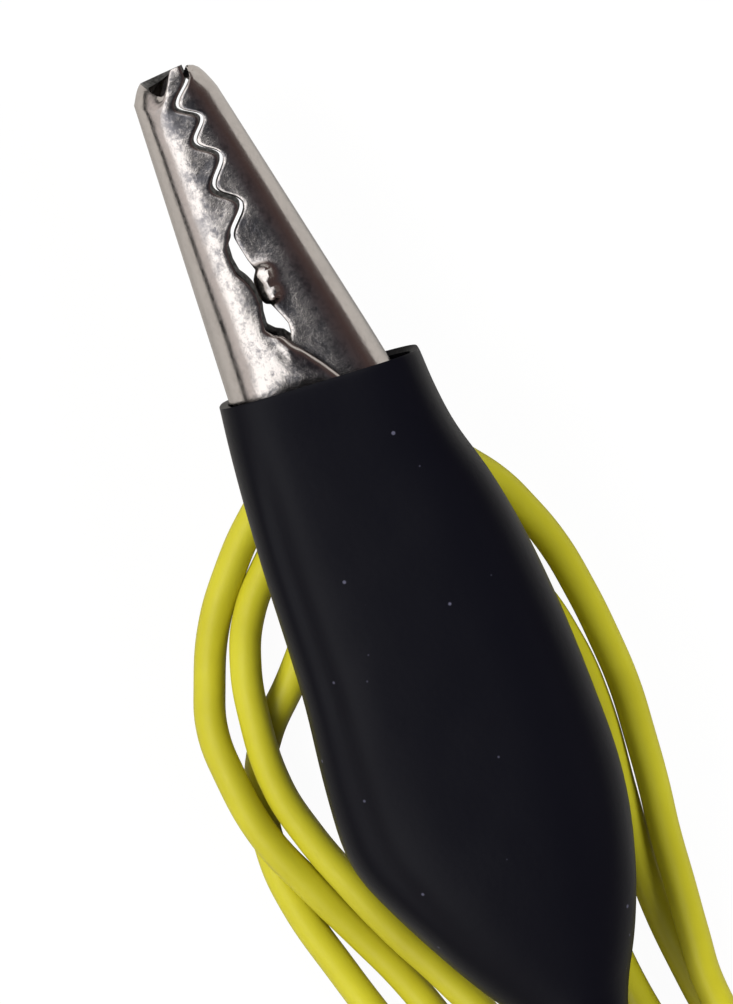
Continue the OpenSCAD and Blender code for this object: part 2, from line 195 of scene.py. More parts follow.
class LeadColours(bpy.types.PropertyGroup):
    nickel: bpy.props.FloatVectorProperty(
        name="Nickel", description="Plating of the jaws", subtype="COLOR", size=3,
        default=(0.74, 0.69, 0.66), min=0, max=1)
    # The dull colour is partly the plating's own spots and partly painted shade: it darkens the
    # flat faces that look up and down.
    nickel_spots_and_shade: bpy.props.FloatVectorProperty(
        name="Nickel, dull", description="Dull spots in the plating", subtype="COLOR", size=3,
        default=(0.205, 0.2, 0.215), min=0, max=1)
    vinyl: bpy.props.FloatVectorProperty(
        name="Vinyl", description="Boots", subtype="COLOR", size=3,
        default=(0.0032, 0.0032, 0.0056), min=0, max=1)
    insulation: bpy.props.FloatVectorProperty(
        name="Insulation", description="Wire", subtype="COLOR", size=3,
        default=(0.59, 0.548, 0.027), min=0, max=1)
    copper: bpy.props.FloatVectorProperty(
        name="Copper", description="Bare strands", subtype="COLOR", size=3,
        default=(0.83, 0.47, 0.31), min=0, max=1)


# ---------- small tools ----------
def deselect():
    """Leaves edit mode, if it is on, with nothing selected."""
    if bpy.context.mode != "OBJECT":
        bpy.ops.object.mode_set(mode="OBJECT")
    bpy.ops.object.select_all(action="DESELECT")


def pick(piece):
    """Makes a piece the only selected one, and the active one."""
    deselect()
    piece.select_set(True)
    bpy.context.view_layer.objects.active = piece
    return piece


def added(name):
    """Names the primitive that was just added."""
    piece = bpy.context.active_object
    piece.name = name
    piece.data.name = name
    return piece


def modify(piece, kind, **settings):
    """Adds a modifier with these settings and applies it."""
    pick(piece)
    modifier = piece.modifiers.new(kind, kind)
    for key, value in settings.items():
        setattr(modifier, key, value)
    bpy.ops.object.modifier_apply(modifier=modifier.name)


def settle(piece, matrix=None):
    """Puts a piece's place into its mesh, so its object stands at the origin."""
    if matrix is not None:
        piece.matrix_world = matrix @ piece.matrix_world
    bpy.context.view_layer.update()
    pick(piece)
    bpy.ops.object.transform_apply(location=True, rotation=True, scale=True)


def tidy_mesh(piece):
    """Merges doubled points and turns the faces outwards."""
    pick(piece)
    bpy.ops.object.mode_set(mode="EDIT")
    bpy.ops.mesh.select_all(action="SELECT")
    bpy.ops.mesh.remove_doubles(threshold=1e-7)
    bpy.ops.mesh.normals_make_consistent(inside=False)
    bpy.ops.object.mode_set(mode="OBJECT")


def smooth(piece, degrees=35):
    pick(piece)
    bpy.ops.object.shade_smooth_by_angle(angle=math.radians(degrees))


def give(piece, material):
    piece.data.materials.clear()
    piece.data.materials.append(material)


def copy_to(piece, name, matrix):
    """A copy with its own mesh, moved by matrix."""
    twin = piece.copy()
    twin.data = piece.data.copy()
    twin.name = name
    twin.data.name = name
    bpy.context.collection.objects.link(twin)
    twin.data.transform(matrix)
    return twin


def on_both_clips(piece, node, moving=False, bend=None):
    """It rides on the lead, or on the moving jaw. Given bend, points in millimetres, it is only
    baked in place: the points are worked out but nothing follows from them, and it rides on
    neither."""
    far = copy_to(piece, "far_" + piece.name, FAR)
    piece.data.transform(NEAR)
    for made, (prefix, place, jaw) in zip((piece, far), CLIPS):
        if bend:
            start, end = (place @ (Vector(point) * MM) for point in bend)
            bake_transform(made)
            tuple(start)
            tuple(end)
        else:
            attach(made, jaw if moving else "lead")
        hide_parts(prefix + node)


def along(points, x):
    """The values that follow x in a run of (x, ...) points, read at x."""
    if x <= points[0][0]:
        return points[0][1:]
    for a, b in zip(points, points[1:]):
        if x <= b[0]:
            t = (x - a[0]) / (b[0] - a[0])
            return tuple(p + (q - p) * t for p, q in zip(a[1:], b[1:]))
    return points[-1][1:]


TOOTH_STEPS = 8


def wave(lift):
    """The rounded zigzag through the teeth's peaks and valleys, lifted toward the other jaw."""
    run = []
    for (x0, y0), (x1, y1) in zip(TEETH, TEETH[1:]):
        for step in range(TOOTH_STEPS):
            u = step / TOOTH_STEPS
            run.append((x0 + (x1 - x0) * u,
                        y0 + (y1 - y0) * (1 - math.cos(math.pi * u)) / 2 + lift))
    return run + [(TEETH[-1][0], TEETH[-1][1] + lift)]


# ---------- materials ----------
def new_material(name):
    material = bpy.data.materials.new(name)
    material.use_nodes = True
    tree = material.node_tree
    return material, tree, tree.nodes["Principled BSDF"]


def plug(tree, value, socket):
    """Gives a socket a value, or links another node's socket to it."""
    if isinstance(value, bpy.types.NodeSocket):
        tree.links.new(value, socket)
    else:
        socket.default_value = value


def paint(tree, shader, **inputs):
    """Feeds a node's named inputs, each with a value or with another node's socket."""
    for key, value in inputs.items():
        plug(tree, value, shader.inputs[key.replace("_", " ")])


def node(tree, kind, *ordered, **named):
    """Adds a node and feeds its inputs, the first ones in order and the others by name."""
    made = tree.nodes.new(kind)
    for socket, value in zip(made.inputs, ordered):
        plug(tree, value, socket)
    paint(tree, made, **named)
    return made


def maths(tree, operation, *values):
    made = node(tree, "ShaderNodeMath", *values)
    made.operation = operation
    return made.outputs[0]


def noise(tree, where, scale, detail=3.0, roughness=0.55):
    made = node(tree, "ShaderNodeTexNoise", Vector=where, Scale=scale, Detail=detail,
                Roughness=roughness)
    return made.outputs["Fac"]


def ramp(tree, fac, stops):
    """A colour ramp through (position, grey or colour) stops."""
    made = node(tree, "ShaderNodeValToRGB", fac)
    elements = made.color_ramp.elements
    while len(elements) < len(stops):
        elements.new(0.5)
    for element, (place, colour) in zip(elements, stops):
        element.position = place
        rgb = (colour,) * 3 if isinstance(colour, (int, float)) else tuple(colour)
        element.color = (*rgb, 1)
    return made.outputs["Color"]


def bump(tree, height, strength, distance, after=None):
    """A normal raised by height, on top of the normal called after."""
    made = node(tree, "ShaderNodeBump", Height=height, Strength=strength, Distance=distance)
    if after is not None:
        plug(tree, after, made.inputs["Normal"])
    return made.outputs["Normal"]


def object_coordinates(tree):
    return tree.nodes.new("ShaderNodeTexCoord").outputs["Object"]


def nickel_material(colours):
    """Bright nickel over stamped steel: smooth round the folds, spangled on the flat sides, whose
    faces that look up and down are also darkened in colour as painted shade.
    """
    material, tree, shader = new_material("nickel_plate")
    coordinates = tree.nodes.new("ShaderNodeTexCoord")
    where = coordinates.outputs["Object"]
    split = node(tree, "ShaderNodeSeparateXYZ", coordinates.outputs["Normal"])
    tilt = maths(tree, "ABSOLUTE", split.outputs["Z"])
    flat = node(tree, "ShaderNodeMapRange", Value=tilt, From_Min=0.86, From_Max=0.98,
                To_Min=0.12).outputs["Result"]
    clouds = noise(tree, where, 620, 4, 0.62)
    spangle = noise(tree, where, 3300, 5, 0.75)
    grain = noise(tree, where, 9000, 2, 0.5)
    bright = ramp(tree, maths(tree, "MULTIPLY", clouds, spangle), ((0.17, 0.0), (0.29, 1.0)))
    # Painted shade: the dull colour goes on faces whose normal points up or down, standing in for
    # the dark room above that they mirror; the spangled pattern across it is the plating's own
    # mottling.
    dull_spots_and_shade = maths(tree, "MULTIPLY", maths(tree, "SUBTRACT", 1.0, bright), flat)
    colour = node(tree, "ShaderNodeMixRGB", dull_spots_and_shade, (*colours.nickel, 1),
                  (*colours.nickel_spots_and_shade, 1)).outputs[0]
    depth = maths(tree, "MULTIPLY", flat, 0.45)
    fine = bump(tree, grain, 0.2, 0.00001)
    pits = bump(tree, spangle, depth, 0.00004, fine)
    paint(tree, shader, Base_Color=colour, Metallic=1.0,
          Roughness=ramp(tree, spangle, ((0.38, 0.24), (0.62, 0.13))),
          Normal=bump(tree, clouds, depth, 0.00005, pits))
    return material


def cut_edge_material():
    """Sheared edge of the sheet, duller and darker than its faces."""
    material, tree, shader = new_material("cut_edge")
    marks = noise(tree, object_coordinates(tree), 6000, 3)
    paint(tree, shader, Metallic=1.0,
          Base_Color=ramp(tree, marks, ((0.35, 0.05), (0.7, 0.16))),
          Roughness=ramp(tree, marks, ((0.3, 0.5), (0.7, 0.3))),
          Normal=bump(tree, marks, 0.3, 0.00002))
    return material


def spring_material():
    """Drawn spring wire with faint marks along it."""
    material, tree, shader = new_material("spring_wire")
    marks = noise(tree, object_coordinates(tree), 5000, 3)
    paint(tree, shader, Metallic=1.0,
          Base_Color=ramp(tree, marks, ((0.3, 0.42), (0.7, 0.62))),
          Roughness=ramp(tree, marks, ((0.3, 0.42), (0.7, 0.25))),
          Normal=bump(tree, marks, 0.2, 0.00002))
    return material


def vinyl_material(colours):
    """Dip-moulded vinyl: satin, faintly uneven, with a few specks of dust."""
    material, tree, shader = new_material("boot_vinyl")
    where = object_coordinates(tree)
    swell = noise(tree, where, 130, 2)
    grain = noise(tree, where, 2600, 4)
    cells = node(tree, "ShaderNodeTexVoronoi", Vector=where, Scale=560.0)
    dusty = [min(1, c * 14 + 0.03) for c in colours.vinyl]
    specks = ((0.035, dusty), (0.06, colours.vinyl))
    fine = bump(tree, grain, 0.25, 0.00004)
    paint(tree, shader, Specular_IOR_Level=0.13,
          Base_Color=ramp(tree, cells.outputs["Distance"], specks),
          Roughness=ramp(tree, swell, ((0.3, 0.36), (0.7, 0.48))),
          Normal=bump(tree, swell, 0.35, 0.0006, fine))
    return material


def insulation_material(colours):
    """Yellow insulation, satin, a little deeper in patches and lightly scuffed."""
    material, tree, shader = new_material("wire_insulation")
    where = object_coordinates(tree)
    patches = noise(tree, where, 160, 3)
    scuffs = noise(tree, where, 2400, 4, 0.65)
    deep = [c * k for c, k in zip(colours.insulation, (0.84, 0.82, 0.7))]
    paint(tree, shader, Subsurface_Weight=0.08, Subsurface_Radius=(0.0006, 0.0005, 0.0001),
          Base_Color=ramp(tree, patches, ((0.3, deep), (0.62, colours.insulation))),
          Roughness=ramp(tree, scuffs, ((0.35, 0.38), (0.7, 0.56))),
          Normal=bump(tree, scuffs, 0.25, 0.00004))
    return material


def copper_material(colours):
    """Bright copper strand, a little tarnished."""
    material, tree, shader = new_material("bare_copper")
    tarnish = noise(tree, object_coordinates(tree), 1800, 4)
    dark = [c * 0.55 for c in colours.copper]
    paint(tree, shader, Metallic=1.0,
          Base_Color=ramp(tree, tarnish, ((0.35, dark), (0.6, colours.copper))),
          Roughness=ramp(tree, tarnish, ((0.3, 0.4), (0.7, 0.22))))
    return material


def solder_material():
    """Smooth grey solder with a frosty skin."""
    material, tree, shader = new_material("soft_solder")
    frost = noise(tree, object_coordinates(tree), 1500, 5)
    paint(tree, shader, Metallic=1.0,
          Base_Color=ramp(tree, frost, ((0.35, 0.45), (0.65, 0.72))),
          Roughness=ramp(tree, frost, ((0.35, 0.5), (0.65, 0.22))),
          Normal=bump(tree, frost, 0.4, 0.00005))
    return material


# ---------- stage ----------
VIEW_CENTRE = Vector((2.6, 0.0, 7.3)) * MM
VIEW_DISTANCE = 0.30
VIEW_HEIGHT = 0.0456
VIEW_TILT = math.radians(5)
VIEW_UP = Vector((-0.9114, 0.4115, 0))
VIEW_RIGHT = Vector((0.4115, 0.9114, 0))
SENSOR = 36.0
LAMP_AIM = Vector((0.02, 0, 0))
# Light that comes down the room, by height: on the bright side and on the dim side.
BRIGHT_SIDE = ((0.0, 0.02), (0.17, 0.03), (0.27, (0.6, 0.56, 0.54)),
               (0.56, (0.66, 0.62, 0.6)), (0.67, 1.5), (0.935, 1.5),
               (0.975, 0.13), (1.0, (0.035, 0.037, 0.045)))
DIM_SIDE = ((0.0, (0.12, 0.10, 0.095)), (0.4, (0.07, 0.045, 0.042)),
            (0.85, (0.06, 0.05, 0.055)), (1.0, (0.035, 0.037, 0.045)))


def make_camera():
    back = VIEW_UP * math.sin(VIEW_TILT) + Vector((0, 0, 1)) * math.cos(VIEW_TILT)
    up = back.cross(VIEW_RIGHT)
    bpy.ops.object.camera_add()
    camera = bpy.context.active_object
    camera.name = "camera"
    camera.data.sensor_width = SENSOR
    camera.data.lens = SENSOR * VIEW_DISTANCE / VIEW_HEIGHT
    camera.data.clip_start = 0.01
    camera.data.clip_end = 10
    turn = Matrix((VIEW_RIGHT.normalized(), up, back)).transposed().to_4x4()
    camera.matrix_world = Matrix.Translation(VIEW_CENTRE + back * VIEW_DISTANCE) @ turn
    bpy.context.scene.camera = camera


def make_lamp(name, place, size, watts, colour):
    """A round soft lamp that lights the lead and isn't itself mirrored in the metal."""
    bpy.ops.object.light_add(type="AREA", location=place)
    lamp = bpy.context.active_object
    lamp.name = name
    lamp.data.shape = "DISK"
    lamp.data.size = size
    lamp.data.energy = watts
    lamp.data.color = colour
    lamp.visible_glossy = False
    lamp.rotation_euler = (LAMP_AIM - Vector(place)).to_track_quat("-Z", "Y").to_euler()


def make_floor():
    """A pale floor, white to the camera, that keeps the lead's shadow."""
    bpy.ops.mesh.primitive_plane_add(size=3, location=(0, 0, 0))
    floor = added("floor")
    material, tree, shader = new_material("pale_floor")
    paint(tree, shader, Base_Color=(0.43, 0.42, 0.4, 1), Roughness=0.9, Specular_IOR_Level=0.0)
    glow = node(tree, "ShaderNodeEmission", Strength=1.05)
    rays = tree.nodes.new("ShaderNodeLightPath")
    share = maths(tree, "MULTIPLY", rays.outputs["Is Camera Ray"], 0.92)
    mix = node(tree, "ShaderNodeMixShader", share, shader.outputs[0], glow.outputs[0])
    tree.links.new(mix.outputs[0], tree.nodes["Material Output"].inputs["Surface"])
    give(floor, material)


def make_world():
    """A room with one bright side, which the metal mirrors."""
    world = bpy.data.worlds.new("room")
    bpy.context.scene.world = world
    world.use_nodes = True
    tree = world.node_tree
    where = tree.nodes.new("ShaderNodeTexCoord").outputs["Generated"]
    up = node(tree, "ShaderNodeSeparateXYZ", where).outputs["Z"]
    side = tree.nodes.new("ShaderNodeVectorMath")
    side.operation = "DOT_PRODUCT"
    plug(tree, where, side.inputs[0])
    plug(tree, -VIEW_RIGHT, side.inputs[1])
    share = node(tree, "ShaderNodeMapRange", Value=side.outputs["Value"], From_Min=-0.25,
                 From_Max=0.25)
    share.interpolation_type = "SMOOTHSTEP"
    mix = node(tree, "ShaderNodeMixRGB", share.outputs["Result"], ramp(tree, up, DIM_SIDE),
               ramp(tree, up, BRIGHT_SIDE))
    tree.links.new(mix.outputs[0], tree.nodes["Background"].inputs["Color"])


class LEAD_OT_stage(bpy.types.Operator):
    """Adds the camera, the lamps, the room's light and the floor"""
    bl_idname = "lead.stage"
    bl_label = "Stage"

    def execute(self, context):
        deselect()
        make_camera()
        make_world()
        make_lamp("key", (-0.22, -0.3, 0.5), 0.3, 2.3, (1, 0.985, 0.96))
        make_lamp("fill", (0.25, 0.5, 0.45), 0.4, 3.9, (0.96, 0.98, 1))
        make_floor()
        context.scene.view_settings.view_transform = "Standard"
        return {"FINISHED"}


# ---------- the wire ----------
def round_curve(name, points, radius, sides, steps):
    """A round bar along a smooth line through the points, as a curve. sides and steps are how
    finely it is divided round it and between two points."""
    data = bpy.data.curves.new(name, "CURVE")
    data.dimensions = "3D"
    data.bevel_depth = radius
    data.bevel_resolution = sides
    data.resolution_u = steps
    data.use_fill_caps = True
    spline = data.splines.new("BEZIER")
    spline.bezier_points.add(len(points) - 1)
    for knot, place in zip(spline.bezier_points, points):
        knot.co = place
        knot.handle_left_type = "AUTO"
        knot.handle_right_type = "AUTO"
    bar = bpy.data.objects.new(name, data)
    bpy.context.collection.objects.link(bar)
    return bar


def wire_points():
    near = [NEAR @ (Vector(p) * MM) for p in INSIDE]
    far = [FAR @ (Vector(p) * MM) for p in reversed(INSIDE)]
    return near + [Vector(p) * MM for p in NEAR_ROUTE + LOOPS + FAR_ROUTE] + far


class LEAD_OT_wire(bpy.types.Operator):
    """Lays the insulated wire from one clip's crimp to the other's"""
    bl_idname = "lead.wire"
    bl_label = "Wire"

    def execute(self, context):
        deselect()
        radius = context.scene.lead_sizes.wire_diameter / 2
        wire = round_curve("insulated_wire", wire_points(), radius, 5, 8)
        give(wire, insulation_material(context.scene.lead_colours))
        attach(wire, "lead")
        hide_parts("near_wire", "wire_coil", "far_wire")
        return {"FINISHED"}


# ---------- jaws ----------
def jaw_columns(first, last):
    """Places along the jaw where its sheet has an edge: close at the teeth, wider behind."""
    columns = []
    x = first
    while x < last:
        columns.append(x)
        x += 0.1 if x < -6 else (0.2 if x < 4 else 0.45)
    return columns + [last]


# Rows of the sheet's section: close together under its edge, along the side, round the corner.
LIP_DEPTHS = (0.0, 0.12, 0.3, 0.6, 1.0)
SIDE_ROWS = 7
CORNER_ROWS = 11
# Radius of the fold between side and back, as a share of the half width.
CORNER_SHARE = 0.84
LEAST_SIDE = 0.12
# The hollow in the open end: how high it reaches, also as a share of the side, and how far back.
NOTCH_H = 2.2
NOTCH_SHARE = 0.8
NOTCH_LENGTH = 1.7


def fold_rows(height, half_w, corner, lip):
    """The sheet's section from its edge to the middle of the back: (distance from the middle
    plane, distance from the back). lip is how far the edge is rounded over, and how deep."""
    def reach(h):
        rise = max(0.0, min(1.0, 1 - h / corner))
        return half_w - corner + corner * math.sqrt(1 - rise * rise)
    drop, deep = lip
    deep = min(deep, height * 0.4)
    rows = []
    for share in LIP_DEPTHS:
        over = drop * (1 - share) ** 2
        rows.append((reach(height - deep * share) - over, height - deep * share))
    first = rows[-1][1]
    last = min(corner, first * 0.9)
    for i in range(1, SIDE_ROWS):
        h = first + (last - first) * i / SIDE_ROWS
        rows.append((reach(h), h))
    turn = math.acos(1 - last / corner)
    for i in range(CORNER_ROWS + 1):
        h = corner * (1 - math.cos(turn * (1 - i / CORNER_ROWS)))
        rows.append((reach(h), h))
    return rows


def hump(x, y, at_x, at_y, width):
    """A round bump, 1 at its middle."""
    return math.exp(-((x - at_x) ** 2 + (y - at_y) ** 2) / width ** 2)


def pat(x, y, at_x, at_y, width):
    """A round flat-topped bump with a steep rim."""
    return 1 / (1 + (((x - at_x) ** 2 + (y - at_y) ** 2) / width ** 2) ** 3)


def make_jaw(name, stations, edge, up, sheet, notch, relief, lip):
    """A channel folded from sheet. up is +1 where its sides rise from the back, -1 where they
    hang; notch is how far the upper side's open end is hollowed; relief gives, at x and y, how
    far the side stands out, and lip, at x, how far and how deep its edge is rounded over."""
    columns = jaw_columns(stations[0][0], stations[-1][0])
    rows_count = 2 * (len(LIP_DEPTHS) + SIDE_ROWS + CORNER_ROWS)
    bpy.ops.mesh.primitive_grid_add(x_subdivisions=len(columns) - 1,
                                    y_subdivisions=rows_count - 1, size=1)
    jaw = added(name)
    places = []
    for x in columns:
        back, half_w = along(stations, x)
        height = max(LEAST_SIDE, up * (along(edge, x)[0] - back))
        half = fold_rows(height, half_w, CORNER_SHARE * half_w, lip(x))
        fade = math.exp(-(x - stations[0][0]) / NOTCH_LENGTH)
        for side, rows in ((1, half), (-1, reversed(half))):
            for z, h in rows:
                y = back + up * h
                u = min(1, h / min(NOTCH_H, NOTCH_SHARE * height))
                bow = math.sin(math.pi * u) * (1 - u ** 4)
                hollow = notch * bow if side > 0 else 0
                out = relief(x, y) * min(1, max(0, h / half_w - 0.25) * 3)
                places.append((x + hollow * fade, y, side * (z + out)))
    mesh = jaw.data
    grid = sorted(range(len(mesh.vertices)),
                  key=lambda i: (round(mesh.vertices[i].co.x, 5), round(mesh.vertices[i].co.y, 5)))
    for index, place in zip(grid, places):
        mesh.vertices[index].co = Vector(place) * MM
    tidy_mesh(jaw)
    for slot_material in ("nickel_plate", "cut_edge"):
        jaw.data.materials.append(bpy.data.materials[slot_material])
    modify(jaw, "SOLIDIFY", thickness=sheet, offset=-sheet_faces_out(jaw, up),
           use_even_offset=True, material_offset_rim=1)
    return jaw


def sheet_faces_out(jaw, up):
    """1 if the open sheet's faces point away from its hollow, -1 if they point into it."""
    score = sum(p.normal.y * p.area for p in jaw.data.polygons)
    return 1 if score * up < 0 else -1


def drill(piece, radius):
    """Drills the pivot hole along Z, through both sides."""
    deselect()
    bpy.ops.mesh.primitive_cylinder_add(vertices=48, radius=radius * MM, depth=12 * MM)
    bit = added("drill")
    modify(piece, "BOOLEAN", operation="DIFFERENCE", object=bit, solver="EXACT")
    bpy.data.objects.remove(bit, do_unlink=True)


def break_edges(piece, width, degrees=40):
    """Rounds the edges sharper than degrees, width in millimetres."""
    modify(piece, "BEVEL", width=width * MM, segments=2, limit_method="ANGLE",
           angle_limit=math.radians(degrees))


class LEAD_OT_fixed_jaws(bpy.types.Operator):
    """Folds the jaw that holds the wire, with its ears outside the moving jaw"""
    bl_idname = "lead.fixed_jaws"
    bl_label = "Fixed jaws"

    def execute(self, context):
        deselect()
        sheet = context.scene.lead_sizes.sheet

        def relief(x, y):
            """A wrinkle where the ear swells out, and faint waves."""
            where = Vector((x, y, 0))
            wrinkle = hump(x, y, -5.1, -0.3, 1.0) * (0.2 + 0.12 * noise_vector(where * 2.1).x)
            return wrinkle + 0.03 * noise_vector(where * 0.8).y

        def lip(x):
            """Small along the teeth, and larger on the ear."""
            t = min(1, max(0, x + 6.8))
            return 0.06 + 0.24 * t, 0.2 + 0.22 * t

        jaw = make_jaw("fixed_jaw_plate", FIXED_STATIONS, wave(0) + list(FIXED_EDGE), 1, sheet,
                       1.0, relief, lip)
        drill(jaw, 1.02)
        break_edges(jaw, 0.07)
        smooth(jaw)
        on_both_clips(jaw, "fixed_jaw")
        return {"FINISHED"}


class LEAD_OT_moving_jaws(bpy.types.Operator):
    """Folds the jaw that turns on the rivet, with its bent tab behind the teeth"""
    bl_idname = "lead.moving_jaws"
    bl_label = "Moving jaws"

    def execute(self, context):
        deselect()
        sheet = context.scene.lead_sizes.sheet

        def relief(x, y):
            """The bent tab, as two lumps that lean out, and faint waves."""
            where = Vector((x, y, 0))
            tab = min(1, pat(x, y, -8.85, 0.03, 0.45) + pat(x, y, -7.95, 0.0, 0.42))
            lean = 0.1 + 0.42 * max(0, y + 0.5) + 0.05 * noise_vector(where * 4).z
            return lean * tab + 0.03 * noise_vector(where * 0.7 + Vector((9, 4, 2))).x

        jaw = make_jaw("moving_jaw_plate", MOVING_STATIONS, wave(TEETH_GAP) + list(MOVING_EDGE),
                       -1, sheet, 0.2, relief, lambda x: (0.06, 0.2))
        drill(jaw, 1.06)
        break_edges(jaw, 0.07)
        smooth(jaw)
        on_both_clips(jaw, "moving_jaw", moving=True)
        return {"FINISHED"}


# ---------- turned pieces ----------
def lathe(name, profile, steps=48):
    """Spins a closed profile of (radius, z) points, in millimetres, about Z."""
    deselect()
    bpy.ops.mesh.primitive_circle_add(vertices=len(profile), radius=MM)
    piece = added(name)
    for vertex, (radius, z) in zip(piece.data.vertices, profile):
        vertex.co = Vector((radius, 0, z)) * MM
    pick(piece)
    bpy.ops.object.mode_set(mode="EDIT")
    bpy.ops.mesh.select_all(action="SELECT")
    bpy.ops.mesh.spin(steps=steps, angle=math.tau, center=(0, 0, 0), axis=(0, 0, 1))
    bpy.ops.object.mode_set(mode="OBJECT")
    tidy_mesh(piece)
    return piece


class LEAD_OT_rivets(bpy.types.Operator):
    """Turns the pivot rivets, each with two low domed heads"""
    bl_idname = "lead.rivets"
    bl_label = "Rivets"

    def execute(self, context):
        top = RIVET_HALF
        ear = EAR_HALF_W
        dome = [(0, top - 0.12), (0.35, top - 0.1), (0.7, top), (1.1, top - 0.02),
                (1.4, top - 0.1), (1.58, top - 0.24), (1.6, ear + 0.02), (1.0, ear)]
        profile = dome + [(r, -z) for r, z in reversed(dome)]
        rivet = lathe("pivot_rivet_turned", profile)
        smooth(rivet)
        give(rivet, bpy.data.materials["nickel_plate"])
        on_both_clips(rivet, "pivot_rivet")
        return {"FINISHED"}


def on_trough():
    """Frame of the wire's grip: the insulation's end, +Z along the tail toward the tip."""
    lean = Matrix.Rotation(math.pi - math.atan(BACK_SLOPE), 4, "Z")
    lay_down = Matrix.Rotation(math.radians(90), 4, "Y")
    return Matrix.Translation(Vector(GRIP_END) * MM) @ lean @ lay_down


# How far the fixed tail's inner face stands off its back, and how far the solder does.
TAIL_FACE = 0.453
SOLDER_SEAT = 0.46


class LEAD_OT_solder(bpy.types.Operator):
    """Turns the solder round the strands and flattens it where it meets the tail"""
    bl_idname = "lead.solder"
    bl_label = "Solder joints"

    def execute(self, context):
        profile = [(0.44, 0.7), (0.62, 0.74), (0.85, 1.15), (0.98, 1.8), (0.96, 2.4), (0.8, 2.95),
                   (0.58, 3.28), (0.44, 3.3)]
        joint = lathe("solder_bead", profile, 40)
        modify(joint, "SUBSURF", levels=1, render_levels=1)
        settle(joint, on_trough())
        rippled_y = (fixed_back(10.6) + TAIL_FACE + 0.2) * MM
        for vertex in joint.data.vertices:
            seat = (fixed_back(vertex.co.x / MM) + SOLDER_SEAT) * MM
            vertex.co.y = max(vertex.co.y, seat)
            if vertex.co.y > rippled_y:
                vertex.co.z += noise_vector(vertex.co * 900).z * 0.05 * MM
        smooth(joint, 60)
        give(joint, solder_material())
        on_both_clips(joint, "solder_joint")
        return {"FINISHED"}


def tube_along(name, points, radius, sides=4):
    """A round bar along a smooth line through the points, as a mesh."""
    pick(round_curve(name, points, radius, sides, 4))
    bpy.ops.object.convert(target="MESH")
    bar = bpy.context.active_object
    tidy_mesh(bar)
    return bar


STRANDS = 7
STRAND_LENGTH = 4.2
STRAND_KNOTS = 8


class LEAD_OT_strands(bpy.types.Operator):
    """Lays seven bare strands in a slow twist from the insulation's end to the solder"""
    bl_idname = "lead.strands"
    bl_label = "Bare strands"

    def execute(self, context):
        strand = context.scene.lead_sizes.strand
        twist = math.radians(110)
        bars = []
        for k in range(STRANDS):
            reach = 0 if k == STRANDS - 1 else strand * 1.04
            points = []
            for i in range(STRAND_KNOTS):
                share = i / (STRAND_KNOTS - 1)
                a = math.radians(60 * k) + twist * share
                points.append(Vector((reach * math.cos(a), reach * math.sin(a),
                                      (0.02 + STRAND_LENGTH * share) * MM)))
            bars.append(tube_along(f"strand_{k}", points, strand / 2 * 0.97, 3))
        deselect()
        for bar in bars:
            bar.select_set(True)
        context.view_layer.objects.active = bars[0]
        bpy.ops.object.join()
        bundle = added("bare_strands")
        settle(bundle, on_trough())
        smooth(bundle, 50)
        give(bundle, copper_material(context.scene.lead_colours))
        on_both_clips(bundle, "conductor")
        return {"FINISHED"}


# ---------- spring ----------
# Inner radius of the coil, room between its turns, and where the legs end on the tails.
SPRING_BORE = 1.3
TURN_GAP = 0.12
TURN_STEPS = 36
LEG_X = 5.5
FIXED_LEG_GAP = 0.12
MOVING_LEG_GAP = 0.18


def spring_points(wire):
    """The spring's centreline: a leg on the fixed tail, the coil, a leg on the moving tail."""
    reach = SPRING_BORE + wire / 2
    low = Vector((LEG_X, fixed_back(LEG_X) + TAIL_FACE + wire / 2 + FIXED_LEG_GAP))
    high = Vector((LEG_X, along(MOVING_STATIONS, LEG_X)[0] - 0.45 - wire / 2 - MOVING_LEG_GAP))
    start = math.atan2(low.y, low.x) - math.acos(reach / low.length)
    end = math.atan2(high.y, high.x) + math.acos(reach / high.length)
    turn = math.tau * 3 - end + start
    half = (wire + TURN_GAP) * turn / math.tau / 2
    points = [Vector((low.x, low.y, -half)), Vector((low.x * 0.6, low.y * 0.6 - 0.45, -half))]
    for i in range(TURN_STEPS + 1):
        a = start - turn * i / TURN_STEPS
        points.append(Vector((reach * math.cos(a), reach * math.sin(a),
                              half * (2 * i / TURN_STEPS - 1))))
    points.append(Vector((high.x * 0.6, high.y * 0.6 + 0.45, half)))
    points.append(Vector((high.x, high.y, half)))
    return [p * MM for p in points]


class LEAD_OT_springs(bpy.types.Operator):
    """Winds the torsion springs whose legs press the tails apart"""
    bl_idname = "lead.springs"
    bl_label = "Springs"

    def execute(self, context):
        wire = context.scene.lead_sizes.spring_wire
        coil = tube_along("spring_wound", spring_points(wire / MM), wire / 2, 4)
        smooth(coil, 60)
        give(coil, spring_material())
        on_both_clips(coil, "jaw_spring", bend=((0, -1.2, 0), (0, 1.7, 0)))
        return {"FINISHED"}


# ---------- boot ----------
BOOT_SIDES = 48
CREASE_DEPTH = 0.26
CREASE_HALF_W = 0.33
# How far the skin drifts from its drawn shape. The drift ends before the sleeve.
SKIN_DRIFT = 0.09


def ring_place(ring, angle):
    """A point of one of the boot's rings, its section going from squarish to round."""
    x, low, high, thinner, roundness, slant = ring
    power = 2 / (3.9 - 1.9 * roundness)
    c, s = math.cos(angle), math.sin(angle)
    y = (low + high) / 2 + (high - low) / 2 * math.copysign(abs(c) ** power, c)
    z = (BOOT_HALF_T - thinner) * math.copysign(abs(s) ** power, s)
    return Vector((x + slant * (y - 0.4), y, z)) * MM


